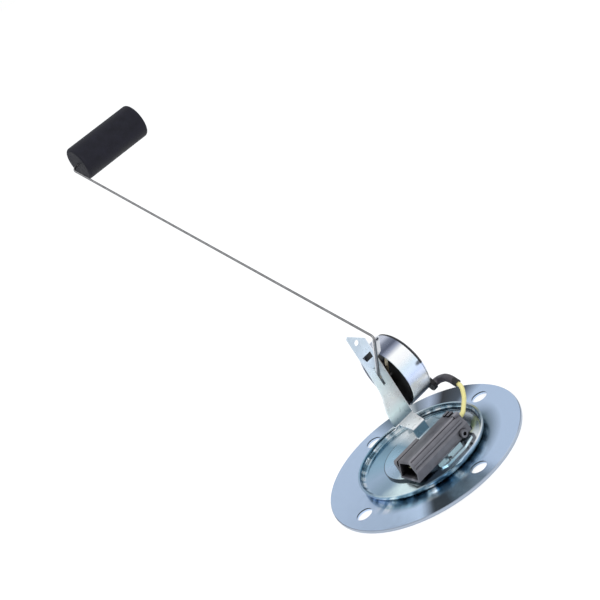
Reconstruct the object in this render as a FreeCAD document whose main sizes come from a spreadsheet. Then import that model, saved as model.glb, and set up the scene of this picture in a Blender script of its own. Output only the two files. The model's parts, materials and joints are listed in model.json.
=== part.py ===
import FreeCAD, Part
import math
import os
import Sketcher

# Fuel level sender: a round flange with a pressed dish, a folded bracket that carries a
# drum-shaped resistance sensor, a pivoting wire arm with a foam float, and a plug housing.
# Origin at the centre of the flange's underside, +Z up, X along the arm's pivot axis.

doc = FreeCAD.newDocument("FuelLevelSender")
sheet = doc.addObject("Spreadsheet::Sheet", "Sizes")

DIMENSIONS = [
    # flange and dish
    ("flange_radius", 65.0),
    ("flange_sheet", 2.0),
    ("flange_edge", 0.4),
    ("bolt_hole_radius", 5.25),
    ("bolt_edge", 12.0),
    ("dish_radius", 42.6),
    ("dish_sheet", 1.2),
    ("dish_depth", 4.7),
    ("dish_bend", 4.3),
    # bracket
    ("bracket_sheet", 1.5),
    ("base_gap", 17.1),
    ("base_right_gap", 15.6),
    ("base_half_gap", 22.6),
    ("step_top", 12.0),
    ("step_front", 12.0),
    ("step_left", 8.7),
    ("step_right", 18.7),
    ("strip_front", 28.8),
    ("strip_right", 23.5),
    ("strip_foot", 7.4),
    ("strip_left", 12.5),
    ("strip_top", 79.0),
    ("strip_shoulder", 70.7),
    ("strip_crop", 1.5),
    ("flare_start", 38.0),
    ("flare_high", 26.0),
    ("flare_high_out", 0.3),
    ("flare_middle", 20.0),
    ("flare_middle_out", 1.2),
    ("flare_low", 16.0),
    ("flare_low_out", 2.9),
    ("flare_foot", 11.0),
    ("flare_foot_out", 4.4),
    ("foot_rise", 3.0),
    ("ear_hole_across", 16.9),
    ("ear_hole_rise", 10.0),
    ("ear_hole_radius", 1.9),
    ("window_left", 14.2),
    ("window_slant", 1.6),
    ("window_right", 21.8),
    ("window_bottom", 57.3),
    ("window_top", 62.0),
    ("slot_left", 16.5),
    ("slot_right", 18.9),
    ("slot_bottom", 37.9),
    ("slot_top", 52.0),
    ("cheek_back", 50.0),
    ("cheek_top", 46.0),
    ("cheek_corner", 5.0),
    ("cheek_foot", 4.0),
    ("cheek_foot_rise", 6.0),
    ("tread_inset", 0.7),
    ("bend_radius", 1.0),
    # pivot
    ("pivot_back", 35.4),
    ("pivot_up", 37.7),
    ("shaft_radius", 1.5),
    ("shaft_start", 16.0),
    ("shaft_end", 33.0),
    ("running_gap", 0.05),
    ("bush_radius", 3.0),
    ("bush_rim", 4.2),
    ("hub_radius", 3.0),
    ("hub_start", 16.4),
    ("hub_end", 20.2),
    # drum
    ("can_start", 24.0),
    ("can_seal_start", 38.2),
    ("can_cover_start", 38.6),
    ("can_end", 39.8),
    ("can_radius", 22.8),
    ("can_wall", 0.8),
    ("cover_bevel", 0.9),
    ("former_start", 27.5),
    ("pillar_radius", 3.2),
    ("pillar_back", 43.5),
    ("pillar_drop", 9.0),
    ("pillar_rise", 5.0),
    ("stop_reach", 11.5),
    ("stop_side", 3.25),
    ("stop_radius", 1.5),
    ("rivet_radius", 1.2),
    ("rivet_head", 2.2),
    ("card_gap", 0.6),
    ("card_width", 4.2),
    ("card_sheet", 0.7),
    ("card_from", 20.0),
    ("card_sweep", 74.0),
    ("card_edge", 0.8),
    ("winding_height", 0.4),
    ("wiper_start", 25.2),
    ("wiper_sheet", 0.4),
    ("wiper_width", 3.0),
    ("contact_radius", 1.0),
    # boot where the lead leaves the drum
    ("boot_forward", 13.8),
    ("boot_drop", 18.8),
    ("boot_length", 6.3),
    ("boot_radius", 3.4),
    ("boot_height", 2.8),
    # arm
    ("wire_radius", 0.8),
    ("arm_plane", 17.7),
    ("elbow_front", 5.9),
    ("elbow_up", 77.8),
    ("float_back", 280.65),
    ("float_up", 215.4),
    ("elbow_bend", 2.6),
    ("float_bend", 5.0),
    ("wire_end", 85.0),
    ("lever_sheet", 0.8),
    ("lever_left", 16.9),
    ("lever_neck_right", 18.5),
    ("lever_right", 22.4),
    ("lever_neck", 27.0),
    ("lever_length", 46.6),
    ("lever_rivet_across", 20.5),
    ("lever_rivet_radius", 1.0),
    # float
    ("float_start", 23.5),
    ("float_end", 82.0),
    ("float_radius", 13.6),
    ("float_bore", 1.1),
    ("float_round", 2.2),
    ("retainer_radius", 4.0),
    ("retainer_sheet", 0.8),
    # plug housing
    ("plug_start", -24.0),
    ("plug_end", 24.0),
    ("plug_width", 18.2),
    ("plug_far_top", 14.3),
    ("plug_crest", 15.4),
    ("plug_slope_top", 14.2),
    ("plug_near_top", 10.2),
    ("plug_wall", 1.2),
    ("mouth_depth", 17.0),
    ("rail_start", -20.0),
    ("rail_end", 1.0),
    ("rail_top", 13.8),
    ("ridge_radius", 0.8),
    ("blade_width", 3.5),
    ("blade_sheet", 0.8),
    ("blade_length", 11.0),
    ("seal_radius", 2.6),
    ("seal_start", 19.0),
    ("seal_end", 26.0),
    ("clip_left", -8.0),
    ("clip_right", 20.0),
    ("clip_width", 5.0),
    ("clip_sheet", 0.8),
    ("clip_lip_top", 5.6),
    ("clip_rivet_radius", 1.3),
    # lead
    ("lead_radius", 1.45),
    ("lead_straight", 5.0),
    ("sleeve_radius", 2.5),
    ("sleeve_bore", 2.0),
]

# Sizes that follow from the ones above.
DERIVED = [
    ("bolt_circle_radius", "=flange_radius - bolt_edge"),
    ("base_radius", "=dish_radius - base_gap"),
    ("base_right", "=dish_radius - base_right_gap"),
    ("base_half", "=dish_radius - base_half_gap"),
    ("floor_top", "=flange_sheet + dish_sheet"),
    ("base_top", "=floor_top + bracket_sheet"),
    ("rim_top", "=flange_sheet + dish_depth"),
    ("step_under", "=step_top - bracket_sheet"),
    ("strip_back", "=strip_front + bracket_sheet"),
    ("ear_hole_up", "=window_top + ear_hole_rise"),
    ("cheek_left", "=strip_right - bracket_sheet"),
    ("can_inner", "=can_radius - can_wall"),
    ("shaft_bore", "=shaft_radius + running_gap"),
    ("pillar_low", "=pivot_up - pillar_drop"),
    ("pillar_high", "=pivot_up + pillar_rise"),
    ("tail_run", "=pivot_back - elbow_front"),
    ("tail_rise", "=elbow_up - pivot_up"),
    ("tail_length", "=sqrt(tail_run * tail_run + tail_rise * tail_rise)"),
    ("stop_forward", "=(stop_reach * tail_run - stop_side * tail_rise) / tail_length"),
    ("stop_up", "=(stop_reach * tail_rise + stop_side * tail_run) / tail_length"),
    ("boot_far", "=sqrt(boot_forward * boot_forward + boot_drop * boot_drop)"),
    ("boot_near", "=boot_far - boot_length"),
    ("lever_rivet_out", "=lever_length - 2.4"),
    ("bush_start", "=cheek_left - 0.7"),
    ("bush_end", "=strip_right + 0.6"),
    ("card_start", "=former_start - card_sheet"),
    ("card_outer", "=can_inner - card_gap"),
    ("card_inner", "=card_outer - card_width"),
    ("winding_outer", "=card_outer - card_edge"),
    ("winding_inner", "=card_inner + card_edge"),
    ("wiper_reach", "=(winding_inner + winding_outer) / 2"),
    ("winding_start", "=card_start - winding_height"),
    ("clip_far", "=-0.3 - base_radius"),
    ("clip_near", "=clip_far - clip_width"),
    ("clip_rivet_near", "=clip_near + 2.2"),
    ("plug_near", "=clip_far + 1.6"),
    ("plug_far", "=plug_near + plug_width"),
    ("plug_crest_near", "=plug_near + 7.2"),
    ("plug_slope", "=plug_near + 3.4"),
    ("plug_length", "=plug_end - plug_start"),
    ("rail_near", "=plug_far + 1.6"),
    ("rail_far", "=plug_far + 4.8"),
    ("mouth_far", "=plug_far - plug_wall"),
    ("mouth_near", "=plug_near + plug_wall"),
    ("mouth_floor", "=base_top + plug_wall"),
    ("mouth_far_top", "=plug_far_top - plug_wall"),
    ("mouth_crest", "=plug_crest - plug_wall - 0.4"),
    ("mouth_near_top", "=plug_near_top - plug_wall"),
    ("seal_near", "=plug_far - 6"),
    ("seal_up", "=base_top + 4.2"),
    ("clip_top", "=floor_top + clip_sheet"),
]

row = 0
for alias, number in DIMENSIONS:
    row += 1
    sheet.set("A" + str(row), alias)
    sheet.set("B" + str(row), str(number))
    sheet.setAlias("B" + str(row), alias)
for alias, formula in DERIVED:
    row += 1
    sheet.set("A" + str(row), alias)
    sheet.set("B" + str(row), formula)
    sheet.setAlias("B" + str(row), alias)
doc.recompute()


def size(alias):
    """The sheet's number under this alias, in millimetres or degrees."""
    return float(sheet.get(alias))


def value(text):
    """A sum such as "can_radius - can_wall + 2" as a number."""
    total = 0.0
    sign = 1.0
    for word in text.split():
        if word == "-":
            sign = -1.0
        elif word == "+":
            sign = 1.0
        elif word[0].isalpha():
            total += sign * size(word)
        else:
            total += sign * float(word)
    return total


def bound(text):
    """The same sum as an expression on the sheet's cells."""
    return " ".join("Sizes." + word if word[0].isalpha() else word for word in text.split())


def new_body(name, place=("0", "0", "0")):
    """An empty body whose placement follows the sheet."""
    body = doc.addObject("PartDesign::Body", name)
    body.Label = name
    for letter, text in zip("xyz", place):
        body.setExpression("Placement.Base." + letter, bound(text))
    return body


def new_sketch(body, name, role, offset=None):
    """A sketch on one of the body's own origin planes, moved along the plane's normal."""
    sketch = body.newObject("Sketcher::SketchObject", name)
    for plane in body.Origin.OriginFeatures:
        if plane.Role == role:
            sketch.AttachmentSupport = [(plane, "")]
    sketch.MapMode = "FlatFace"
    if offset:
        sketch.setExpression("AttachmentOffset.Base.z", bound(offset))
    return sketch


def fix(sketch, kind, geometry, point, text):
    """One coordinate of a point, tied to the sheet."""
    constraint = Sketcher.Constraint(kind, -1, 1, geometry, point, value(text))
    index = sketch.addConstraint(constraint)
    if any(word[0].isalpha() for word in text.split()):
        sketch.setExpression("Constraints[" + str(index) + "]", bound(text))


def outline(sketch, points):
    """A closed outline through these points."""
    corners = [FreeCAD.Vector(value(across), value(up), 0) for across, up in points]
    count = len(corners)
    first = sketch.GeometryCount
    for index in range(count):
        segment = Part.LineSegment(corners[index], corners[(index + 1) % count])
        sketch.addGeometry(segment, False)
    for index in range(count):
        following = first + (index + 1) % count
        sketch.addConstraint(Sketcher.Constraint("Coincident", first + index, 2, following, 1))
    for index, (across, up) in enumerate(points):
        fix(sketch, "DistanceX", first + index, 1, across)
        fix(sketch, "DistanceY", first + index, 1, up)


def box(sketch, left, right, low, high):
    """A rectangle between two pairs of sides."""
    outline(sketch, [(left, low), (right, low), (right, high), (left, high)])


def circle(sketch, across, up, radius):
    """A circle with its centre and radius tied to the sheet."""
    centre = FreeCAD.Vector(value(across), value(up), 0)
    geometry = sketch.addGeometry(Part.Circle(centre, FreeCAD.Vector(0, 0, 1), value(radius)), False)
    fix(sketch, "DistanceX", geometry, 3, across)
    fix(sketch, "DistanceY", geometry, 3, up)
    index = sketch.addConstraint(Sketcher.Constraint("Radius", geometry, value(radius)))
    if any(word[0].isalpha() for word in radius.split()):
        sketch.setExpression("Constraints[" + str(index) + "]", bound(radius))


def extrude(body, kind, name, sketch, length, reverse=False):
    """A pad or a pocket of the sketch; kind is Pad or Pocket."""
    feature = body.newObject("PartDesign::" + kind, name)
    feature.Profile = sketch
    feature.setExpression("Length", bound(length))
    feature.Reversed = reverse
    doc.recompute()
    return feature


def turn(body, name, sketch, axis, sweep="360"):
    """The sketch turned about one of its own axes."""
    feature = body.newObject("PartDesign::Revolution", name)
    feature.Profile = sketch
    feature.ReferenceAxis = (sketch, [axis])
    feature.setExpression("Angle", bound(sweep))
    doc.recompute()
    return feature


def dress_edges(body, kind, measure, name, length, chosen):
    """A fillet or a chamfer on the edges for which chosen(edge) holds."""
    before = body.Tip
    names = []
    for index, edge in enumerate(before.Shape.Edges):
        if chosen(edge):
            names.append("Edge" + str(index + 1))
    feature = body.newObject("PartDesign::" + kind, name)
    feature.Base = (before, names)
    feature.setExpression(measure, bound(length))
    doc.recompute()
    return feature


def round_edges(body, name, radius, chosen):
    """Fillets on the chosen edges."""
    return dress_edges(body, "Fillet", "Radius", name, radius, chosen)


def bevel_edges(body, name, width, chosen):
    """Chamfers on the chosen edges."""
    return dress_edges(body, "Chamfer", "Size", name, width, chosen)


def circle_edge(along, radius, at):
    """A test for full circles of this radius whose centre lies at this height along an axis."""

    def test(edge):
        curve = edge.Curve
        if not isinstance(curve, Part.Circle) or len(edge.Vertexes) > 1:
            return False
        close = abs(curve.Radius - value(radius)) < 0.01
        return close and abs(curve.Center[along] - value(at)) < 0.01

    return test


def line_edge(along, first, first_at, second, second_at):
    """A test for straight edges along one axis at two given coordinates."""

    def test(edge):
        box_of = edge.BoundBox
        spans = (box_of.XLength, box_of.YLength, box_of.ZLength)
        centre = box_of.Center
        if spans[along] < 1.0 or sum(spans) - spans[along] > 0.01:
            return False
        near = abs(centre[first] - value(first_at)) < 0.01
        return near and abs(centre[second] - value(second_at)) < 0.01

    return test


def turned_part(name, points, place, sweep="360"):
    """A body of revolution about the X axis through its own placement."""
    body = new_body(name, place)
    sketch = new_sketch(body, name + "_profile", "XY_Plane")
    outline(sketch, points)
    turn(body, name + "_turned", sketch, "H_Axis", sweep)
    return body


# Flange plate
flange = new_body("flange_plate")
flange_outline = new_sketch(flange, "flange_outline", "XY_Plane")
circle(flange_outline, "0", "0", "flange_radius")
extrude(flange, "Pad", "flange_pad", flange_outline, "flange_sheet")
bevel_edges(flange, "flange_bevel_top", "flange_edge", circle_edge(2, "flange_radius", "flange_sheet"))
bolt_sketch = new_sketch(flange, "bolt_hole_outline", "XY_Plane")
circle(bolt_sketch, "bolt_circle_radius", "0", "bolt_hole_radius")
bolt_hole = extrude(flange, "Pocket", "bolt_hole", bolt_sketch, "flange_sheet + 1", True)
bolt_pattern = flange.newObject("PartDesign::PolarPattern", "bolt_holes")
bolt_pattern.Originals = [bolt_hole]
bolt_pattern.Axis = (bolt_sketch, ["N_Axis"])
bolt_pattern.Angle = 360
bolt_pattern.Occurrences = 4
flange.Tip = bolt_pattern
doc.recompute()

# Pressed dish
dish = new_body("dish")
dish_profile = new_sketch(dish, "dish_profile", "XZ_Plane")
outline(dish_profile, [
    ("0", "flange_sheet"),
    ("dish_radius", "flange_sheet"),
    ("dish_radius", "rim_top"),
    ("dish_radius - dish_sheet", "rim_top"),
    ("dish_radius - dish_sheet", "floor_top"),
    ("0", "floor_top"),
])
turn(dish, "dish_turned", dish_profile, "V_Axis")
round_edges(dish, "dish_bend_outside", "dish_bend", circle_edge(2, "dish_radius", "flange_sheet"))
round_edges(dish, "dish_bend_inside", "dish_bend - dish_sheet",
            circle_edge(2, "dish_radius - dish_sheet", "floor_top"))

# Bracket folded from one sheet: base, step, upright strip and side cheek
bracket = new_body("bracket")
base_disc = new_sketch(bracket, "base_disc", "XY_Plane", "floor_top")
circle(base_disc, "0", "0", "base_radius")
extrude(bracket, "Pad", "base_disc_pad", base_disc, "bracket_sheet")
base_side = new_sketch(bracket, "base_side", "XY_Plane", "floor_top")
box(base_side, "0", "base_right", "- base_half", "base_half")
extrude(bracket, "Pad", "base_side_pad", base_side, "bracket_sheet")
riser = new_sketch(bracket, "riser", "XZ_Plane", "- step_front")
box(riser, "step_left", "step_right", "floor_top", "step_top")
extrude(bracket, "Pad", "riser_pad", riser, "bracket_sheet", True)
tread = new_sketch(bracket, "tread", "XY_Plane", "step_under")
outline(tread, [
    ("step_left", "step_front"),
    ("step_right", "step_front"),
    ("strip_right - tread_inset", "strip_front"),
    ("strip_right - tread_inset", "strip_back"),
    ("strip_foot + foot_rise", "strip_back"),
    ("strip_foot + foot_rise", "strip_front"),
])
extrude(bracket, "Pad", "tread_pad", tread, "bracket_sheet")
strip = new_sketch(bracket, "strip", "XZ_Plane", "- strip_front")
outline(strip, [
    ("strip_foot", "step_under"),
    ("strip_right", "step_under"),
    ("strip_right", "strip_shoulder"),
    ("strip_left + strip_crop", "strip_top"),
    ("strip_left", "strip_top - strip_crop"),
    ("strip_left", "step_top + flare_start"),
    ("strip_left - flare_high_out", "step_top + flare_high"),
    ("strip_left - flare_middle_out", "step_top + flare_middle"),
    ("strip_left - flare_low_out", "step_top + flare_low"),
    ("strip_left - flare_foot_out", "step_top + flare_foot"),
    ("strip_foot", "step_top + foot_rise"),
])
extrude(bracket, "Pad", "strip_pad", strip, "bracket_sheet", True)
cheek = new_sketch(bracket, "cheek", "YZ_Plane", "cheek_left")
outline(cheek, [
    ("strip_front", "step_under"),
    ("cheek_back - cheek_foot", "step_under"),
    ("cheek_back", "step_under + cheek_foot_rise"),
    ("cheek_back", "cheek_top - cheek_corner"),
    ("cheek_back - cheek_corner", "cheek_top"),
    ("strip_front", "cheek_top"),
])
extrude(bracket, "Pad", "cheek_pad", cheek, "bracket_sheet")
openings = new_sketch(bracket, "strip_openings", "XZ_Plane", "- strip_front")
circle(openings, "ear_hole_across", "ear_hole_up", "ear_hole_radius")
outline(openings, [
    ("window_left + window_slant", "window_bottom"),
    ("window_right", "window_bottom"),
    ("window_right", "window_top"),
    ("window_left", "window_top"),
])
box(openings, "slot_left", "slot_right", "slot_bottom", "slot_top")
extrude(bracket, "Pocket", "strip_openings_cut", openings, "bracket_sheet + 0.5")
bush_hole = new_sketch(bracket, "bush_hole", "YZ_Plane", "cheek_left")
circle(bush_hole, "pivot_back", "pivot_up", "bush_radius")
for height in ("pillar_low", "pillar_high"):
    circle(bush_hole, "pillar_back", height, "rivet_radius")
extrude(bracket, "Pocket", "bush_hole_cut", bush_hole, "bracket_sheet + 0.5", True)
round_edges(bracket, "bends_outside", "bend_radius", line_edge(0, 1, "step_front", 2, "step_top"))
round_edges(bracket, "bends_inside", "bend_radius", lambda edge: (
    line_edge(0, 1, "strip_front", 2, "step_top")(edge)
    or line_edge(0, 1, "step_front", 2, "base_top")(edge)
))

# Bush pressed into the cheek; the shaft turns in it
PIVOT = ("0", "pivot_back", "pivot_up")
bush = turned_part("shaft_bush", [
    ("bush_start", "shaft_bore"),
    ("bush_end", "shaft_bore"),
    ("bush_end", "bush_radius"),
    ("cheek_left", "bush_radius"),
    ("cheek_left", "bush_rim"),
    ("bush_start", "bush_rim"),
], PIVOT)

# Drum of the sensor with its seal and rear cover
can = turned_part("sensor_can", [
    ("can_start", "can_inner"),
    ("can_seal_start", "can_inner"),
    ("can_seal_start", "can_radius"),
    ("can_start", "can_radius"),
], PIVOT)
can_seal = turned_part("can_seal", [
    ("can_seal_start", "can_inner"),
    ("can_cover_start", "can_inner"),
    ("can_cover_start", "can_radius - 0.15"),
    ("can_seal_start", "can_radius - 0.15"),
], PIVOT)
cover = turned_part("can_cover", [
    ("can_cover_start", "0"),
    ("can_end", "0"),
    ("can_end", "can_radius"),
    ("can_cover_start", "can_radius"),
], PIVOT)
bevel_edges(cover, "cover_edge", "cover_bevel", circle_edge(0, "can_radius", "can_end"))

# Moulded boot on the cover; the sleeved lead leaves it past the drum's edge
boot = new_body("lead_boot", PIVOT)
boot_angle = math.degrees(math.atan2(size("boot_forward"), size("boot_drop")))
boot.Placement.Rotation = FreeCAD.Rotation(FreeCAD.Vector(1, 0, 0), -boot_angle)
for part_name in ("near", "far"):
    boot_end = new_sketch(boot, "boot_" + part_name + "_end", "YZ_Plane", "can_end")
    circle(boot_end, "0", "- boot_" + part_name, "boot_radius")
    extrude(boot, "Pad", "boot_" + part_name + "_pad", boot_end, "boot_height")
boot_middle = new_sketch(boot, "boot_middle", "YZ_Plane", "can_end")
box(boot_middle, "- boot_radius", "boot_radius", "- boot_far", "- boot_near")
extrude(boot, "Pad", "boot_middle_pad", boot_middle, "boot_height")
lead_exit = new_sketch(boot, "lead_exit", "YZ_Plane", "can_end")
circle(lead_exit, "0", "- boot_far", "sleeve_radius")
extrude(boot, "Pocket", "lead_exit_cut", lead_exit, "boot_height + 0.5", True)

# Moulded former that fills the drum behind the wiper
former = turned_part("card_former", [
    ("former_start", "shaft_bore"),
    ("shaft_end + 0.6", "shaft_bore"),
    ("shaft_end + 0.6", "0"),
    ("can_seal_start", "0"),
    ("can_seal_start", "can_inner"),
    ("former_start", "can_inner"),
], PIVOT)
pillars = new_sketch(former, "pillars", "YZ_Plane", "strip_right")
for height in ("- pillar_drop", "pillar_rise"):
    circle(pillars, "pillar_back - pivot_back", height, "pillar_radius")
extrude(former, "Pad", "pillars_pad", pillars, "former_start - strip_right")
stop_peg = new_sketch(former, "stop_peg", "YZ_Plane", "wiper_start - 0.4")
circle(stop_peg, "- stop_forward", "stop_up", "stop_radius")
extrude(former, "Pad", "stop_peg_pad", stop_peg, "former_start - wiper_start + 0.4")
rivet_bores = new_sketch(former, "rivet_bores", "YZ_Plane", "strip_right")
for height in ("- pillar_drop", "pillar_rise"):
    circle(rivet_bores, "pillar_back - pivot_back", height, "rivet_radius")
extrude(former, "Pocket", "rivet_bores_cut", rivet_bores, "6", True)

# Two rivets that hold the former to the cheek
rivet_shapes = []
for name, height in (("low", "pillar_low"), ("high", "pillar_high")):
    for part_name, start, length, radius in (
        ("head", "cheek_left - 0.8", "0.8", "rivet_head"),
        ("shank", "cheek_left", "bracket_sheet + 6", "rivet_radius"),
    ):
        rod = doc.addObject("Part::Cylinder", "rivet_" + part_name + "_" + name)
        rod.setExpression("Radius", bound(radius))
        rod.setExpression("Height", bound(length))
        rod.Placement.Rotation = FreeCAD.Rotation(FreeCAD.Vector(0, 1, 0), 90)
        rod.setExpression("Placement.Base.x", bound(start))
        rod.setExpression("Placement.Base.y", bound("pillar_back"))
        rod.setExpression("Placement.Base.z", bound(height))
        rivet_shapes.append(rod)
doc.recompute()
joined = []
for index in (0, 2):
    fused = doc.addObject("Part::Fuse", "rivet_" + str(index // 2 + 1))
    fused.Base = rivet_shapes[index]
    fused.Tool = rivet_shapes[index + 1]
    joined.append(fused)
former_rivets = doc.addObject("Part::Compound", "former_rivets")
former_rivets.Label = "former_rivets"
former_rivets.Links = joined
doc.recompute()


def arc_plate(name, inner, outer, start, thickness, start_angle, sweep):
    """A flat arc on the drum's axis; angles run from straight up toward the front."""
    body = new_body(name, PIVOT)
    body.Placement.Rotation = FreeCAD.Rotation(FreeCAD.Vector(1, 0, 0), value(start_angle) + 90)
    sketch = new_sketch(body, name + "_profile", "XY_Plane")
    box(sketch, start, start + " + " + thickness, inner, outer)
    turn(body, name + "_turned", sketch, "H_Axis", sweep)
    return body


card = arc_plate("resistance_card", "card_inner", "card_outer", "card_start", "card_sheet",
                 "card_from", "card_sweep")
winding = arc_plate("resistance_winding", "winding_inner", "winding_outer", "winding_start",
                    "winding_height", "card_from + 4", "card_sweep - 8")

# Arm directions in the plane across the pivot axis
tail_angle = math.degrees(math.atan2(size("tail_run"), size("tail_rise")))
TAIL = FreeCAD.Vector(0, -size("tail_run"), size("tail_rise")).normalize()
pivot_point = FreeCAD.Vector(0, size("pivot_back"), size("pivot_up"))


def swing(body):
    """Turn a body about its X axis so that its own +Z runs along the arm's tail."""
    body.Placement.Rotation = FreeCAD.Rotation(FreeCAD.Vector(1, 0, 0), tail_angle)


shaft = turned_part("pivot_shaft", [
    ("shaft_start", "0"),
    ("shaft_end", "0"),
    ("shaft_end", "shaft_radius"),
    ("shaft_start", "shaft_radius"),
], PIVOT)

hub = turned_part("arm_hub", [
    ("hub_start", "shaft_radius"),
    ("hub_end", "shaft_radius"),
    ("hub_end", "hub_radius"),
    ("hub_start", "hub_radius"),
], PIVOT)
swing(hub)
wire_socket = new_sketch(hub, "wire_socket", "XY_Plane", "shaft_radius - 0.5")
circle(wire_socket, "arm_plane", "0", "wire_radius")
extrude(hub, "Pocket", "wire_socket_cut", wire_socket, "hub_radius", True)

lever = new_body("arm_lever", PIVOT)
swing(lever)
lever_outline = new_sketch(lever, "lever_outline", "XZ_Plane", "- wire_radius")
outline(lever_outline, [
    ("lever_left", "hub_radius"),
    ("lever_neck_right", "hub_radius"),
    ("lever_neck_right", "lever_neck"),
    ("lever_right", "lever_neck + 3"),
    ("lever_right", "lever_length - 1.5"),
    ("lever_right - 1.5", "lever_length"),
    ("lever_left", "lever_length"),
])
extrude(lever, "Pad", "lever_pad", lever_outline, "lever_sheet", True)
rivet_hole = new_sketch(lever, "lever_rivet_hole", "XZ_Plane", "- wire_radius")
circle(rivet_hole, "lever_rivet_across", "lever_rivet_out", "lever_rivet_radius")
extrude(lever, "Pocket", "lever_rivet_cut", rivet_hole, "lever_sheet + 0.5")

lever_rivet = new_body("lever_rivet", PIVOT)
swing(lever_rivet)
rivet_stem = new_sketch(lever_rivet, "rivet_stem", "XZ_Plane", "- wire_radius + 0.4")
circle(rivet_stem, "lever_rivet_across", "lever_rivet_out", "lever_rivet_radius")
extrude(lever_rivet, "Pad", "rivet_stem_pad", rivet_stem, "lever_sheet + 0.8", True)

# Float wire: tail from the hub, elbow, long straight run, then a bend into the float
arm_x = size("arm_plane")
wire_radius = size("wire_radius")
elbow = FreeCAD.Vector(arm_x, size("elbow_front"), size("elbow_up"))
far_corner = FreeCAD.Vector(arm_x, size("float_back"), size("float_up"))
tail_start = pivot_point + FreeCAD.Vector(arm_x, 0, 0) + TAIL * (size("shaft_radius") + 0.05)
wire_tip = FreeCAD.Vector(size("wire_end"), size("float_back"), size("float_up"))


def routed(points, radii):
    """A wire of straight runs joined by tangent arcs at the inner points."""
    edges = []
    here = points[0]
    for index in range(1, len(points) - 1):
        corner = points[index]
        back = (points[index - 1] - corner).normalize()
        ahead = (points[index + 1] - corner).normalize()
        half = back.getAngle(ahead) / 2
        radius = radii[index - 1]
        cut = radius / math.tan(half)
        first = corner + back * cut
        last = corner + ahead * cut
        middle_way = (back + ahead).normalize()
        centre = corner + middle_way * (radius / math.sin(half))
        middle = centre - middle_way * radius
        if (first - here).Length > 0.001:
            edges.append(Part.LineSegment(here, first).toShape())
        edges.append(Part.Arc(first, middle, last).toShape())
        here = last
    edges.append(Part.LineSegment(here, points[-1]).toShape())
    return Part.Wire(edges)


def rod_along(wire, radius):
    """A round rod swept along a routed wire."""
    start = wire.Edges[0].valueAt(wire.Edges[0].FirstParameter)
    direction = wire.Edges[0].tangentAt(wire.Edges[0].FirstParameter)
    ring = Part.Wire([Part.Circle(start, direction, radius).toShape()])
    return wire.makePipeShell([ring], True, True)


float_wire = doc.addObject("Part::Feature", "float_wire")
float_wire.Label = "float_wire"
float_wire.Shape = rod_along(
    routed([tail_start, elbow, far_corner, wire_tip], [size("elbow_bend"), size("float_bend")]),
    wire_radius,
)

# Wiper blade on the shaft with its contact
wiper = new_body("wiper_arm", PIVOT)
swing(wiper)
wiper_hub = new_sketch(wiper, "wiper_hub", "YZ_Plane", "wiper_start")
circle(wiper_hub, "0", "0", "bush_radius")
extrude(wiper, "Pad", "wiper_hub_pad", wiper_hub, "wiper_sheet")
wiper_blade = new_sketch(wiper, "wiper_blade", "YZ_Plane", "wiper_start")
outline(wiper_blade, [
    ("- wiper_width + 1", "0"),
    ("wiper_width - 1", "0"),
    ("1.1", "wiper_reach + 1.2"),
    ("- 1.1", "wiper_reach + 1.2"),
])
extrude(wiper, "Pad", "wiper_blade_pad", wiper_blade, "wiper_sheet")
wiper_bore = new_sketch(wiper, "wiper_bore", "YZ_Plane", "wiper_start")
circle(wiper_bore, "0", "0", "shaft_radius")
extrude(wiper, "Pocket", "wiper_bore_cut", wiper_bore, "wiper_sheet + 0.5", True)

contact = new_body("wiper_contact", PIVOT)
swing(contact)
contact_face = new_sketch(contact, "contact_face", "YZ_Plane", "wiper_start + wiper_sheet")
circle(contact_face, "0", "wiper_reach", "contact_radius")
extrude(contact, "Pad", "contact_pad", contact_face,
        "winding_start - wiper_start - wiper_sheet - 0.25")

# Foam float and the push-on retainer at its outer end
FLOAT = ("0", "float_back", "float_up")
float_body = turned_part("float", [
    ("float_start", "float_bore"),
    ("float_end", "float_bore"),
    ("float_end", "float_radius"),
    ("float_start", "float_radius"),
], FLOAT)
round_edges(float_body, "float_ends", "float_round", lambda edge: (
    circle_edge(0, "float_radius", "float_start")(edge)
    or circle_edge(0, "float_radius", "float_end")(edge)
))
retainer = turned_part("float_retainer", [
    ("float_end + 0.3", "wire_radius"),
    ("float_end + 0.3 + retainer_sheet", "wire_radius"),
    ("float_end + 0.3 + retainer_sheet", "retainer_radius"),
    ("float_end + 0.3", "retainer_radius"),
], FLOAT)

# Plug housing: hollow mouth at the left end, ridges on top, side rail, rear ribs and latch
plug = new_body("connector_housing")
plug_section = new_sketch(plug, "plug_section", "YZ_Plane", "plug_start")
outline(plug_section, [
    ("plug_near", "base_top"),
    ("plug_far", "base_top"),
    ("plug_far", "plug_far_top"),
    ("plug_crest_near", "plug_crest"),
    ("plug_slope", "plug_slope_top"),
    ("plug_near", "plug_near_top"),
])
extrude(plug, "Pad", "plug_pad", plug_section, "plug_length")
rail = new_sketch(plug, "rail", "YZ_Plane", "rail_start")
box(rail, "rail_near", "rail_far", "base_top", "rail_top")
extrude(plug, "Pad", "rail_pad", rail, "rail_end - rail_start")
rail_web = new_sketch(plug, "rail_web", "YZ_Plane", "rail_start")
box(rail_web, "plug_far - 0.5", "rail_near + 0.5", "base_top", "rail_top - 6")
extrude(plug, "Pad", "rail_web_pad", rail_web, "rail_end - rail_start")
ridges = new_sketch(plug, "ridges", "YZ_Plane", "plug_start")
circle(ridges, "plug_crest_near - 1", "plug_crest - 0.2", "ridge_radius")
circle(ridges, "plug_slope - 1.6", "plug_slope_top - 1.7", "ridge_radius")
extrude(plug, "Pad", "ridges_pad", ridges, "plug_length - 2")
ribs = new_sketch(plug, "rear_ribs", "YZ_Plane", "plug_end - 3")
box(ribs, "plug_far - 3.4", "plug_far - 1.4", "base_top + 6", "plug_far_top + 1.2")
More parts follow.
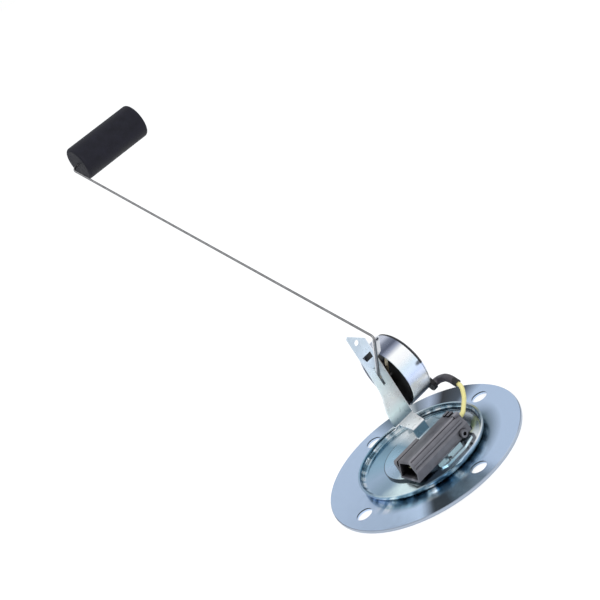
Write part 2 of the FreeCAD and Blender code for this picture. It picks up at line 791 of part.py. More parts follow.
box(ribs, "plug_far - 7.4", "plug_far - 5.2", "base_top + 6", "plug_far_top + 1.6")
box(ribs, "plug_crest_near - 2.4", "plug_crest_near + 0.6", "base_top + 6", "plug_crest + 0.9")
extrude(plug, "Pad", "rear_ribs_pad", ribs, "4.2")
latch = new_sketch(plug, "latch", "XZ_Plane", "- plug_near - 0.5")
circle(latch, "plug_end - 6.5", "base_top + 2.6", "2.5")
extrude(plug, "Pad", "latch_pad", latch, "2.9")
latch_eye = new_sketch(plug, "latch_eye", "XZ_Plane", "- plug_near")
circle(latch_eye, "plug_end - 6.5", "base_top + 2.6", "1.2")
extrude(plug, "Pocket", "latch_eye_cut", latch_eye, "2.9", True)
slant = new_sketch(plug, "mouth_slant", "XZ_Plane")
outline(slant, [
    ("plug_start - 6", "floor_top"),
    ("plug_start + 0.2", "floor_top"),
    ("plug_start + 6.8", "plug_crest + 3"),
    ("plug_start - 6", "plug_crest + 3"),
])
slant_cut = extrude(plug, "Pocket", "mouth_slant_cut", slant, "80")
slant_cut.Midplane = True
mouth = new_sketch(plug, "mouth", "YZ_Plane", "plug_start - 1")
outline(mouth, [
    ("mouth_near", "mouth_floor"),
    ("mouth_far", "mouth_floor"),
    ("mouth_far", "mouth_far_top"),
    ("plug_crest_near", "mouth_crest"),
    ("mouth_near", "mouth_near_top"),
])
extrude(plug, "Pocket", "mouth_cut", mouth, "mouth_depth + 1", True)
rear_bore = new_sketch(plug, "rear_bore", "YZ_Plane", "seal_start")
circle(rear_bore, "seal_near", "seal_up", "seal_radius")
extrude(plug, "Pocket", "rear_bore_cut", rear_bore, "9", True)

terminal = new_body("connector_terminal", (
    "plug_start + mouth_depth - blade_length",
    "seal_near - 2",
    "seal_up + 0.4",
))
blade = new_sketch(terminal, "blade", "XY_Plane")
outline(blade, [
    ("0", "1"),
    ("1.2", "0"),
    ("blade_length", "0"),
    ("blade_length", "blade_width"),
    ("1.2", "blade_width"),
    ("0", "blade_width - 1"),
])
extrude(terminal, "Pad", "blade_pad", blade, "blade_sheet")

seal = turned_part("connector_seal", [
    ("seal_start", "lead_radius"),
    ("seal_end", "lead_radius"),
    ("seal_end", "seal_radius - 0.4"),
    ("plug_end", "seal_radius"),
    ("seal_start", "seal_radius"),
], ("0", "seal_near", "seal_up"))

# Sheet clip beside the housing with its rivet
clip = new_body("connector_clip")
clip_plate = new_sketch(clip, "clip_plate", "XY_Plane", "floor_top")
outline(clip_plate, [
    ("clip_left", "clip_far"),
    ("clip_left", "clip_near + 2"),
    ("clip_left + 3", "clip_near"),
    ("clip_right - 9", "clip_near"),
    ("clip_right", "clip_far - 2"),
    ("clip_right", "clip_far"),
])
extrude(clip, "Pad", "clip_plate_pad", clip_plate, "clip_sheet")
clip_lip = new_sketch(clip, "clip_lip", "XZ_Plane", "- clip_far")
box(clip_lip, "clip_left", "clip_right - 8", "floor_top", "clip_lip_top")
extrude(clip, "Pad", "clip_lip_pad", clip_lip, "clip_sheet")
clip_hole = new_sketch(clip, "clip_hole", "XY_Plane", "floor_top")
circle(clip_hole, "0", "clip_rivet_near", "clip_rivet_radius")
extrude(clip, "Pocket", "clip_hole_cut", clip_hole, "clip_sheet + 1", True)
clip_rivet = new_body("clip_rivet", ("0", "clip_rivet_near", "floor_top"))
rivet_body = new_sketch(clip_rivet, "clip_rivet_stem", "XY_Plane")
circle(rivet_body, "0", "0", "clip_rivet_radius")
extrude(clip_rivet, "Pad", "clip_rivet_stem_pad", rivet_body, "clip_sheet + 0.7")

# Lead from the drum's boot to the plug, with its sleeve
LEAD_CORNERS = [
    (46.8, 9.6, 22.3),
    (46.9, 0.3, 15.7),
    (42.6, -2.5, 10.4),
]
LEAD_RADII = [3.8, 10.0, 7.0, 8.0, 9.0]
exit_back = size("pivot_back") - size("boot_forward")
exit_up = size("pivot_up") - size("boot_drop")
lead_start = FreeCAD.Vector(size("can_end"), exit_back, exit_up)
first_corner = lead_start + FreeCAD.Vector(size("boot_height") + LEAD_RADII[0], 0, 0)
last_corner = FreeCAD.Vector(size("seal_end") + size("lead_straight"), size("seal_near"), size("seal_up"))
lead_end = FreeCAD.Vector(size("seal_start"), size("seal_near"), size("seal_up"))
route = [lead_start, first_corner]
route += [FreeCAD.Vector(*point) for point in LEAD_CORNERS]
route += [last_corner, lead_end]
lead_wire = doc.addObject("Part::Feature", "lead_wire")
lead_wire.Label = "lead_wire"
lead_path = routed(route, LEAD_RADII)
lead_wire.Shape = rod_along(lead_path, size("lead_radius"))

sleeve_tip = route[2] + (route[3] - route[2]) * 0.74
sleeve_path = routed([route[0], route[1], route[2], sleeve_tip], LEAD_RADII[:2])
lead_sleeve = doc.addObject("Part::Feature", "lead_sleeve")
lead_sleeve.Label = "lead_sleeve"
sleeve_outside = rod_along(sleeve_path, size("sleeve_radius"))
sleeve_inside = rod_along(sleeve_path, size("sleeve_bore"))
lead_sleeve.Shape = sleeve_outside.cut(sleeve_inside)
doc.recompute()

NODES = [
    flange, dish, bracket, bush, can, can_seal, cover, former, former_rivets, card, winding,
    shaft, hub, lever, lever_rivet, float_wire, wiper, contact, float_body, retainer,
    plug, terminal, seal, clip, clip_rivet, boot, lead_wire, lead_sleeve,
]

broken = [item.Name for item in doc.Objects if "Invalid" in item.State or "Error" in item.State]
if broken:
    raise RuntimeError("features in error: " + ", ".join(broken))
os.makedirs("parts", exist_ok=True)
for node in NODES:
    shape = node.Shape
    if shape.isNull() or not shape.isValid() or not shape.Solids:
        raise RuntimeError(node.Label + " has no valid solid")
    shape.exportStep(os.path.join("parts", node.Label + ".step"))
    print(node.Label, len(shape.Solids), round(shape.Volume, 1))
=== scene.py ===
import json
import math

import bpy
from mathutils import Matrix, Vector


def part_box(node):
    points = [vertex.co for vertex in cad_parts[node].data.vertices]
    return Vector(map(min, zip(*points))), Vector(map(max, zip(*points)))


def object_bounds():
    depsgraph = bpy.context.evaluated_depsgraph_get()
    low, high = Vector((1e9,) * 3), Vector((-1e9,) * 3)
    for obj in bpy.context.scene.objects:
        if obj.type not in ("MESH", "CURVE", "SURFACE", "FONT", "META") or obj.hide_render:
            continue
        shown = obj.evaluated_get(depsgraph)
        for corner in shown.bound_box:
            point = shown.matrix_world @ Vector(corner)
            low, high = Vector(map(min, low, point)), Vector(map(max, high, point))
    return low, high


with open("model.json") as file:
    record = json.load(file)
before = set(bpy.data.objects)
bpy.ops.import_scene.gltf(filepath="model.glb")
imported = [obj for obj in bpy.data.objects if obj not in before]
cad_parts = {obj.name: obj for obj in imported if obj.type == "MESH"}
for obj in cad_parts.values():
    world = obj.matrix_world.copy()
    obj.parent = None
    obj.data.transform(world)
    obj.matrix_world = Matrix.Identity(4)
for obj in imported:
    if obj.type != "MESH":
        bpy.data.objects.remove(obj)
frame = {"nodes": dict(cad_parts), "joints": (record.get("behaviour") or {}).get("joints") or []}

CAD_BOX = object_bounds()
NODES = frame["nodes"]

# Camera: a long lens from the front left, rolled as the photograph is
LENS_MM = 78.0
SENSOR_MM = 36.0
CAMERA_PLACE = (-0.29077, -0.63044, 0.38033)
CAMERA_ANGLES = (66.406, 31.274, -36.657)
CAMERA_NEAREST = 0.01

# Places where a finish changes, in metres. Flange: its rim, and the line of painted shade in its
# bolt holes
FLANGE_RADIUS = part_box("flange_plate")[1].x
FLANGE_RIM = FLANGE_RADIUS - 0.0004
HOLES_WITHIN = FLANGE_RADIUS - 0.003
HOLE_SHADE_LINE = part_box("flange_plate")[1].z - 0.0005
HOLE_SHADE_HALF = 0.0004
# Dish: radii of its wall, its brim and its floor, and the height of its brim
DISH_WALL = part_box("dish")[1].x
DISH_BRIM = DISH_WALL - 0.0013
DISH_FLOOR = DISH_WALL - 0.0041
DISH_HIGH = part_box("dish")[1].z - 0.0017
BLOTCH_RISE = 300.0
STREAK_REACH = 0.010
# Bracket: its base, on which the plug housing stands, and its upright strip
BASE_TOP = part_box("connector_housing")[0].z
BASE_RIM = -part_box("bracket")[0].x - 0.0004
STRIP_FOOT = 0.0125
STRIP_EDGE = 0.0230
TONES_LOW = 0.003
TONES_HIGH = 0.083
# Drum: round about the arm's pivot, with a seam near its back and a notch in that seam
PIVOT = frame["joints"][0]["pos_m"]
DRUM_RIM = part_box("sensor_can")[1].z - PIVOT[2] - 0.0013
DRUM_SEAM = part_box("sensor_can")[1].x - 0.0005
SEAM_ANGLE = -84
NOTCH_ANGLE = -80
NOTCH_HALF_TURN = 0.012
NOTCH_START = DRUM_SEAM - 0.0040
NOTCH_FULL = DRUM_SEAM - 0.0012
# Plug housing, lead and sleeve: places along Y, and how deep the housing's painted shade reaches
HOUSING_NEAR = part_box("connector_housing")[0].y + 0.0021
HOUSING_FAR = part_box("connector_housing")[1].y + 0.0002
HOUSING_HOLLOW = 0.016
LEAD_COVERED = 0.012
SLEEVE_TIP = 0.0046

# Noise scales, in cells to the metre
PLATE_GLOSS = 240.0
PLATE_GRAIN = 900.0
STEEL_MOTTLE = 300.0
STEEL_GRAIN = 1200.0
MOULDED_MOTTLE = 120.0
MOULDED_GLOSS = 420.0
MOULDED_GRAIN = 1800.0
FOAM_MOTTLE = 160.0
FOAM_CELLS = 1500.0
WINDING_TURNS = 900.0
# Heights of bumps, in metres
BUMP_DEPTH = 0.0002
FINE_BUMP_DEPTH = 0.0001

OFF = (0.0, 0.0, 0.0)
ON = (1.0, 1.0, 1.0)
ORIGIN = (0.0, 0.0, 0.0)
ROOM_BRIGHTNESS = 0.8
MOST_REFLECTED = 0.98

FLOOR_SIZE = 14.0
FLOOR_GAP = 0.0004
FLOOR_COLOUR = (0.5, 0.5, 0.5, 1.0)
FLOOR_LIFT = (0.62, 0.62, 0.62, 1.0)
FLOOR_ROUGHNESS = 0.9

# Each light's place, its width and height in metres, and its power in watts
LIGHTS = {
    "key_light": ((-0.8, -1.5, 1.1), (1.0, 1.0), 15.0),
    "fill_light": ((1.3, -0.6, 0.9), (1.0, 1.2), 2.0),
    "back_light": ((-0.6, 1.0, 1.9), (1.4, 0.8), 3.0),
}
LIGHTS_AIM = (0.02, 0.08, 0.06)

# The room that metal mirrors, from low down behind to overhead
ROOM_TONES = [
    (0.0, (0.24, 0.28, 0.31)), (0.14, (0.34, 0.39, 0.43)),
    (0.34, (0.78, 0.8, 0.83)), (0.9, (0.82, 0.84, 0.86)),
]
ROOM_FRONT = -0.5


class Graph:
    """A node tree with short calls for the nodes that finishes, floor and room share."""

    def __init__(self, tree):
        self.tree = tree

    def add(self, kind, **settings):
        node = self.tree.nodes.new(kind)
        for key, setting in settings.items():
            setattr(node, key, setting)
        return node

    def link(self, source, target):
        self.tree.links.new(source, target)

    def calc(self, operation, *inputs):
        """A sum on numbers and sockets."""
        node = self.add("ShaderNodeMath", operation=operation)
        for socket, given in zip(node.inputs, inputs):
            if isinstance(given, (int, float)):
                socket.default_value = given
            else:
                self.link(given, socket)
        return node.outputs["Value"]

    def both(self, first, second):
        """1 where both masks are 1."""
        return self.calc("MULTIPLY", first, second)

    def beyond(self, source, limit):
        """1 where the source is greater than the limit."""
        return self.calc("GREATER_THAN", source, limit)

    def within(self, source, limit):
        """1 where the source is less than the limit."""
        return self.calc("LESS_THAN", source, limit)

    def ramp(self, source, stops):
        node = self.add("ShaderNodeValToRGB")
        elements = node.color_ramp.elements
        while len(elements) < len(stops):
            elements.new(0.5)
        for element, (position, colour) in zip(elements, stops):
            element.position = position
            element.color = (*colour, 1.0)
        self.link(source, node.inputs["Fac"])
        return node.outputs["Color"]

    def mix(self, factor, first, second):
        """The first colour where the factor is 0 and the second where it is 1."""
        node = self.add("ShaderNodeMix", data_type="RGBA")
        self.link(factor, node.inputs["Factor"])
        for socket, given in (("A", first), ("B", second)):
            if isinstance(given, tuple):
                node.inputs[socket].default_value = (*given, 1.0)
            else:
                self.link(given, node.inputs[socket])
        return node.outputs["Result"]


class Finish(Graph):
    """A material laid out on the object's own coordinates, in metres."""

    def __init__(self, name, metallic=0.0, specular=0.5):
        self.material = bpy.data.materials.new(name)
        self.material.use_nodes = True
        super().__init__(self.material.node_tree)
        self.shader = self.tree.nodes["Principled BSDF"]
        self.shader.inputs["Metallic"].default_value = metallic
        self.shader.inputs["Specular IOR Level"].default_value = specular
        self.place = self.add("ShaderNodeTexCoord").outputs["Object"]

    def vector(self, operation, source, amounts):
        """A sum on a vector, with a fixed amount for each axis."""
        node = self.add("ShaderNodeVectorMath", operation=operation)
        self.link(source, node.inputs[0])
        node.inputs[1].default_value = amounts
        return node.outputs["Vector"]

    def coordinate(self, axis, place=None):
        """A point's place along one axis."""
        split = self.add("ShaderNodeSeparateXYZ")
        self.link(place or self.place, split.inputs["Vector"])
        return split.outputs[axis]

    def along(self, axis, low, high):
        """Where a point lies between two places on one axis, 0 to 1."""
        node = self.add("ShaderNodeMapRange")
        node.inputs["From Min"].default_value = low
        node.inputs["From Max"].default_value = high
        self.link(self.coordinate(axis), node.inputs["Value"])
        return node.outputs["Result"]

    def turn(self, centre=ORIGIN, first="Y", second="X"):
        """The angle about an axis through centre: 0 to 1, with 0.5 toward the second axis."""
        moved = self.vector("SUBTRACT", self.place, centre)
        angle = self.calc("ARCTAN2", self.coordinate(first, moved), self.coordinate(second, moved))
        return self.calc("MULTIPLY_ADD", angle, 0.5 / math.pi, 0.5)

    def radius(self, centre=ORIGIN, across=(1, 1, 0)):
        """How far a point lies from an axis through centre; across is 1 on the two other axes."""
        moved = self.vector("SUBTRACT", self.place, centre)
        reach = self.add("ShaderNodeVectorMath", operation="LENGTH")
        self.link(self.vector("MULTIPLY", moved, across), reach.inputs[0])
        return reach.outputs["Value"]

    def noise(self, scale, detail=4.0, stretch=(1, 1, 1)):
        node = self.add("ShaderNodeTexNoise")
        node.inputs["Scale"].default_value = scale
        node.inputs["Detail"].default_value = detail
        self.link(self.vector("MULTIPLY", self.place, stretch), node.inputs["Vector"])
        return node.outputs["Fac"]

    def streaks(self, scale):
        """Noise that changes only with the angle about the flange's axis."""
        node = self.add("ShaderNodeTexNoise", noise_dimensions="1D")
        node.inputs["Scale"].default_value = scale
        node.inputs["Detail"].default_value = 1.0
        self.link(self.turn(), node.inputs["W"])
        return node.outputs["Fac"]

    def wavered(self, source, amount, scale):
        """The source shifted up and down by noise."""
        shift = self.calc("MULTIPLY_ADD", self.noise(scale, 3.0), amount, -amount / 2)
        return self.calc("ADD", source, shift)

    def span(self, source, low, high):
        """The source's middle half stretched to run from low to high."""
        node = self.add("ShaderNodeMapRange")
        node.inputs["From Min"].default_value = 0.25
        node.inputs["From Max"].default_value = 0.75
        node.inputs["To Min"].default_value = low
        node.inputs["To Max"].default_value = high
        self.link(source, node.inputs["Value"])
        return node.outputs["Result"]

    def sector(self, turn, fade_in, start, end, fade_out):
        """1 between two angles in degrees, fading to 0 on either side."""
        return self.ramp(turn, turned([(fade_in, OFF), (start, ON), (end, ON), (fade_out, OFF)]))

    def shaded(self, colour, shade):
        """The colour times a shade."""
        node = self.add("ShaderNodeMix", data_type="RGBA", blend_type="MULTIPLY")
        node.inputs["Factor"].default_value = 1.0
        self.link(colour, node.inputs["A"])
        self.link(shade, node.inputs["B"])
        return node.outputs["Result"]

    def mottled(self, deep, pale):
        """A faint mottle between two colours, as on mouldings."""
        return self.ramp(self.noise(MOULDED_MOTTLE, 5.0), [(0.32, deep), (0.72, pale)])

    def recess(self, distance):
        """1 on open faces and 0 deep in grooves and mouths."""
        node = self.add("ShaderNodeAmbientOcclusion", samples=8, only_local=True)
        node.inputs["Distance"].default_value = distance
        return node.outputs["AO"]

    def surface(self, colour, rough):
        self.link(colour, self.shader.inputs["Base Color"])
        self.link(rough, self.shader.inputs["Roughness"])

    def bump(self, source, strength, depth=BUMP_DEPTH):
        node = self.add("ShaderNodeBump")
        node.inputs["Strength"].default_value = strength
        node.inputs["Distance"].default_value = depth
        self.link(source, node.inputs["Height"])
        self.link(node.outputs["Normal"], self.shader.inputs["Normal"])

    def moulded_surface(self, colour, rough):
        """Uneven gloss over spark-eroded grain."""
        self.surface(colour, self.span(self.noise(MOULDED_GLOSS, 4.0), *rough))
        self.bump(self.noise(MOULDED_GRAIN, 4.0), 0.18)


def seen(red, green, blue):
    """The reflectance that shows as this screen colour in the room's brightness."""
    linear = [((c / 255 + 0.055) / 1.055) ** 2.4 for c in (red, green, blue)]
    return tuple(min(MOST_REFLECTED, c / ROOM_BRIGHTNESS) for c in linear)


def as_turn(angle):
    """The share of a turn, 0 to 1, that Finish.turn gives at this angle in degrees."""
    return angle / 360 + 0.5


def turned(stops):
    """Ramp stops from angles in degrees."""
    return [(as_turn(angle), colour) for angle, colour in stops]


def flange_with_painted_light(name):
    """Bright zinc on a spun plate, with painted reflections: the painted sheen changes with the
    angle about its centre.
    """
    g = Finish(name, metallic=1.0)
    plain = seen(170, 188, 212)
    pale = seen(182, 202, 226)
    dark = seen(40, 50, 58)
    turn = g.wavered(g.turn(), 0.016, 26.0)
    radius = g.radius()
    # Painted reflections: light and dark sectors by the angle about the centre
    painted_sheen = g.ramp(turn, turned([
        (-178, plain), (-150, pale), (-134, pale), (-126, dark), (-117, dark),
        (-109, seen(104, 122, 134)), (-95, seen(96, 112, 126)), (-84, plain), (8, plain),
        (19, seen(60, 72, 84)), (34, seen(18, 26, 34)), (43, seen(160, 174, 196)),
        (52, seen(104, 116, 126)), (60, seen(222, 232, 240)), (70, seen(84, 104, 118)), (84, plain),
    ]))
    painted_sheen = g.mix(g.beyond(radius, FLANGE_RIM), painted_sheen, seen(146, 156, 170))
    # Beside the dish the plate mirrors its uneven wall in streaks of painted reflection, and on one
    # side a band of painted shade
    painted_streaks = g.ramp(g.streaks(30.0), [
        (0.36, seen(50, 72, 88)), (0.5, seen(120, 146, 164)), (0.62, seen(244, 250, 252)),
    ])
    near = g.calc("MULTIPLY_ADD", radius, -1.0 / STREAK_REACH, DISH_WALL / STREAK_REACH + 1.0)
    near = g.calc("MAXIMUM", near, 0.0)
    strong = g.calc("MINIMUM", g.calc("MULTIPLY", near, 1.4), 0.95)
    painted_sheen = g.mix(g.both(g.sector(turn, -176, -160, -104, -90), strong), painted_sheen, painted_streaks)
    painted_sheen = g.mix(g.both(g.sector(turn, -100, -84, -24, 0), near), painted_sheen, seen(80, 100, 112))
    # A line of painted shade runs round the upper part of each bolt hole's wall
    from_shade_line = g.calc("ABSOLUTE", g.calc("SUBTRACT", g.coordinate("Z"), HOLE_SHADE_LINE))
    hole_shade = g.both(g.within(radius, HOLES_WITHIN), g.within(from_shade_line, HOLE_SHADE_HALF))
    painted_sheen = g.mix(hole_shade, painted_sheen, seen(46, 54, 62))
    g.surface(painted_sheen, g.span(g.noise(PLATE_GLOSS, 5.0, (1, 1, 0.2)), 0.16, 0.26))
    g.bump(g.noise(PLATE_GRAIN, 3.0), 0.05)
    return g.material


def painted_spun_sheen(g):
    """Painted reflections: light and dark sectors like those of a spun bowl."""
    return g.ramp(g.wavered(g.turn(), 0.05, 70.0), turned([
        (-178, seen(132, 156, 174)), (-158, seen(208, 228, 238)), (-142, seen(210, 228, 236)),
        (-126, seen(92, 112, 126)), (-112, seen(84, 104, 120)), (-94, seen(174, 200, 214)),
        (-62, seen(226, 240, 248)), (-34, seen(120, 140, 152)), (-6, seen(168, 176, 184)),
        (30, seen(142, 166, 178)), (62, seen(226, 240, 248)), (92, seen(104, 136, 154)),
        (122, seen(130, 164, 184)), (152, seen(146, 168, 190)), (176, seen(130, 154, 172)),
    ]))


def dish_with_painted_light(name):
    """Bright zinc on the pressed dish, with painted reflections: its rounded wall is uneven and
    mirrors in painted blotches.
    """
    g = Finish(name, metallic=1.0)
    # Painted reflections: streaks on the rounded wall below its brim, sectors on the floor
    painted_streaks = g.ramp(g.streaks(42.0), [
        (0.38, seen(40, 60, 74)), (0.48, seen(140, 168, 184)), (0.6, seen(232, 244, 248)),
    ])
    radius = g.radius()
    wall = g.calc("MULTIPLY", g.calc("SUBTRACT", radius, DISH_FLOOR), BLOTCH_RISE)
    wall = g.calc("MINIMUM", g.calc("MAXIMUM", wall, 0.0), 0.6)
    brim = g.both(g.beyond(radius, DISH_BRIM), g.beyond(g.coordinate("Z"), DISH_HIGH))
    wall = g.both(wall, g.calc("SUBTRACT", 1.0, brim))
    g.surface(g.mix(wall, painted_spun_sheen(g), painted_streaks), g.span(g.noise(PLATE_GLOSS, 5.0), 0.12, 0.22))
    g.bump(g.noise(PLATE_GRAIN, 3.0), 0.05)
    return g.material


def drum_with_painted_light(name):
    """Bright zinc on the drum, with painted reflections and painted shade in sectors about its own
    axis, and a dark seam at its back.
    """
    g = Finish(name, metallic=0.5)
    turn = g.turn(PIVOT, "Y", "Z")
    # Painted reflections and painted shade in sectors about the drum's axis
    painted_sheen = g.ramp(g.wavered(turn, 0.02, 24.0), turned([
        (-178, seen(84, 92, 104)), (-150, seen(80, 88, 98)), (-131, seen(96, 104, 114)),
        (-121, seen(246, 248, 255)), (-106, seen(246, 250, 255)), (-88, seen(186, 200, 232)),
        (-72, seen(206, 220, 240)), (-60, seen(252, 252, 254)), (-45, seen(242, 246, 250)),
        (-37, seen(142, 148, 166)), (-29, seen(74, 80, 98)), (-18, seen(108, 114, 130)),
        (-8, seen(176, 180, 194)), (20, seen(198, 202, 214)), (120, seen(190, 194, 208)),
    ]))
    rim = g.beyond(g.radius(PIVOT, (0, 1, 1)), DRUM_RIM)
    painted_sheen = g.mix(rim, seen(186, 200, 216), painted_sheen)
    # The seam shows dark from the drum's back to a soft notch in front, where a patch of painted
    # shade marks the notch
    seam = g.both(g.beyond(g.coordinate("X"), DRUM_SEAM), g.beyond(turn, as_turn(SEAM_ANGLE)))
    offset = g.calc("ABSOLUTE", g.calc("SUBTRACT", turn, as_turn(NOTCH_ANGLE)))
    near = g.calc("SUBTRACT", 1.0, g.calc("DIVIDE", offset, NOTCH_HALF_TURN))
    patch = g.both(g.calc("MAXIMUM", near, 0.0), g.along("X", NOTCH_START, NOTCH_FULL))
    notch_shade = g.calc("MINIMUM", g.calc("MULTIPLY", patch, 1.5), 0.85)
    dark = g.both(rim, g.calc("MAXIMUM", seam, notch_shade))
    painted_sheen = g.mix(dark, painted_sheen, (0.03, 0.033, 0.04))
    g.surface(painted_sheen, g.span(g.noise(PLATE_GLOSS, 5.0), 0.2, 0.3))
    g.bump(g.noise(700.0, 3.0), 0.02)
    return g.material


def bracket_with_painted_light(name):
    """Bright zinc on the folded bracket, with painted light: painted shade gathers at its folds and
    round its base, and painted highlights lie on its foot's tread and along its edge.
    """
    g = Finish(name, metallic=0.25)
    teal = seen(84, 112, 128)
    bright = seen(232, 240, 248)
    # Painted light by height: painted shade on the foot's riser and low on the strip, a painted
    # highlight on the tread, then paler and slowly darker up the strip
    painted_tones = [
        (0.0050, teal), (0.0108, teal), (0.0116, bright), (0.01202, bright),
        (0.0124, seen(92, 110, 120)), (0.0146, seen(116, 134, 142)), (0.0200, seen(212, 230, 242)),
        (0.0270, seen(226, 240, 249)), (0.0400, seen(214, 228, 240)), (0.0560, seen(200, 214, 228)),
        (0.0700, seen(186, 199, 210)),
    ]
    stops = [((height - TONES_LOW) / (TONES_HIGH - TONES_LOW), colour) for height, colour in painted_tones]
    upright = g.ramp(g.along("Z", TONES_LOW, TONES_HIGH), stops)
    height = g.coordinate("Z")
    # A painted highlight along the strip's edge by the drum
    edge_highlight = g.both(g.beyond(g.coordinate("X"), STRIP_EDGE), g.beyond(height, STRIP_FOOT))
    upright = g.mix(edge_highlight, upright, (0.9, 0.92, 0.95))
    # Painted shade on the base's side wall and in a thin line round its rim on the -X side, over
    # painted reflections on its top
    side = g.within(height, BASE_TOP - 0.0001)
    rim = g.both(g.beyond(g.radius(), BASE_RIM), g.within(g.coordinate("X"), 0.0))
    base = g.mix(g.calc("MAXIMUM", side, rim), painted_spun_sheen(g), (0.02, 0.03, 0.04))
    standing = g.beyond(height, BASE_TOP + 0.0002)
    g.surface(g.mix(standing, base, upright), g.span(g.noise(PLATE_GLOSS, 5.0), 0.24, 0.34))
    g.bump(g.noise(500.0, 2.0), 0.01)
    return g.material


def housing_with_painted_light(name):
    """Dark grey moulding with painted light: a painted highlight along its crest, painted shade
    black down its mouth and grooves.
    """
    g = Finish(name)
    # Across Y: a painted highlight along the crest and bands of painted shade beside it
    across = g.wavered(g.along("Y", HOUSING_NEAR, HOUSING_FAR), 0.04, 90.0)
    grey = g.ramp(across, [
        (0.0, (0.16, 0.16, 0.183)), (0.16, (0.14, 0.14, 0.16)), (0.24, (0.21, 0.205, 0.23)),
        (0.30, (0.26, 0.255, 0.275)), (0.36, (0.14, 0.137, 0.155)), (0.55, (0.085, 0.083, 0.097)),
        (0.8, (0.15, 0.145, 0.16)), (1.0, (0.19, 0.18, 0.195)),
    ])
    mottle = g.ramp(g.noise(300.0, 5.0), [(0.3, (0.8, 0.8, 0.8)), (0.7, ON)])
    # Painted shade deep in the mouth and grooves, from ambient occlusion; the gloss drops there too
    recess_shade = g.ramp(g.recess(HOUSING_HOLLOW), [(0.5, (0.02, 0.02, 0.02)), (0.92, ON)])
    grey = g.shaded(g.shaded(grey, mottle), recess_shade)
    g.link(g.calc("MULTIPLY", recess_shade, 0.45), g.shader.inputs["Specular IOR Level"])
    g.moulded_surface(grey, (0.32, 0.46))
    return g.material


def lead_finish(name):
    """Yellow insulation, black where the sleeve and the boot cover it."""
    g = Finish(name)
    covered = g.beyond(g.coordinate("Y"), LEAD_COVERED)
    yellow = g.mottled((0.78, 0.7, 0.27), (0.86, 0.79, 0.36))
    insulation = g.mix(covered, yellow, (0.012, 0.012, 0.012))
    g.surface(insulation, g.span(g.noise(MOULDED_GLOSS, 4.0), 0.32, 0.45))
    g.bump(g.noise(900.0, 4.0), 0.05)
    return g.material


def sleeve_with_painted_shade(name):
    """Black sleeve, with painted shade making it darkest at its open end."""
    g = Finish(name)
    black = g.mottled((0.04, 0.035, 0.042), (0.078, 0.07, 0.082))
    # Painted shade at the open end
    mouth_shade = g.within(g.coordinate("Y"), SLEEVE_TIP)
    g.moulded_surface(g.mix(mouth_shade, black, (0.005, 0.005, 0.006)), (0.32, 0.46))
    return g.material


def zinc(name, pale, deep, metallic=1.0):
    """Bright zinc plate: cool patches, fine rolling marks and a slight uneven gloss."""
    g = Finish(name, metallic)
    patches = g.ramp(g.noise(35.0, 3.0), [(0.3, deep), (0.7, pale)])
    g.surface(patches, g.span(g.noise(260.0, 5.0, (1, 0.15, 1)), 0.16, 0.3))
    g.bump(g.noise(PLATE_GRAIN, 3.0, (1, 0.2, 1)), 0.06)
    return g.material


def steel(name, colour, rough=(0.22, 0.38)):
    """Drawn or turned metal with fine grain."""
    g = Finish(name, metallic=1.0)
    darker = tuple(0.72 * c for c in colour)
    mottle = g.ramp(g.noise(STEEL_MOTTLE, 4.0), [(0.3, darker), (0.7, colour)])
    g.surface(mottle, g.span(g.noise(STEEL_GRAIN, 3.0), *rough))
    g.bump(g.noise(STEEL_GRAIN, 2.0), 0.05, FINE_BUMP_DEPTH)
    return g.material


def moulded(name, pale, deep, rough=(0.42, 0.6), specular=0.45):
    """Moulded plastic or rubber: spark-eroded grain and slight wear."""
    g = Finish(name, specular=specular)
    g.moulded_surface(g.mottled(deep, pale), rough)
    return g.material


def foam(name):
    """Black closed-cell foam: fine cells over a faint mottle."""
    g = Finish(name, specular=0.22)
    cells = g.add("ShaderNodeTexVoronoi", feature="F1")
    cells.inputs["Scale"].default_value = FOAM_CELLS
    g.link(g.place, cells.inputs["Vector"])
    patches = g.noise(FOAM_MOTTLE, 4.0)
    black = g.ramp(patches, [(0.3, (0.004, 0.004, 0.009)), (0.75, (0.012, 0.012, 0.021))])
    g.surface(black, g.span(patches, 0.5, 0.68))
    g.bump(cells.outputs["Distance"], 0.35)
    return g.material


def winding_finish(name):
    """Fine resistance wire laid side by side round the drum's axis."""
    g = Finish(name, metallic=0.8)
    turns = g.add("ShaderNodeTexWave", wave_type="BANDS", bands_direction="Z")
    turns.inputs["Scale"].default_value = WINDING_TURNS
    g.link(g.place, turns.inputs["Vector"])
    wires = g.ramp(turns.outputs["Fac"], [(0.2, (0.1, 0.08, 0.07)), (0.8, (0.5, 0.46, 0.42))])
    g.surface(wires, g.span(g.noise(400.0), 0.3, 0.45))
    g.bump(turns.outputs["Fac"], 0.4, FINE_BUMP_DEPTH)
    return g.material


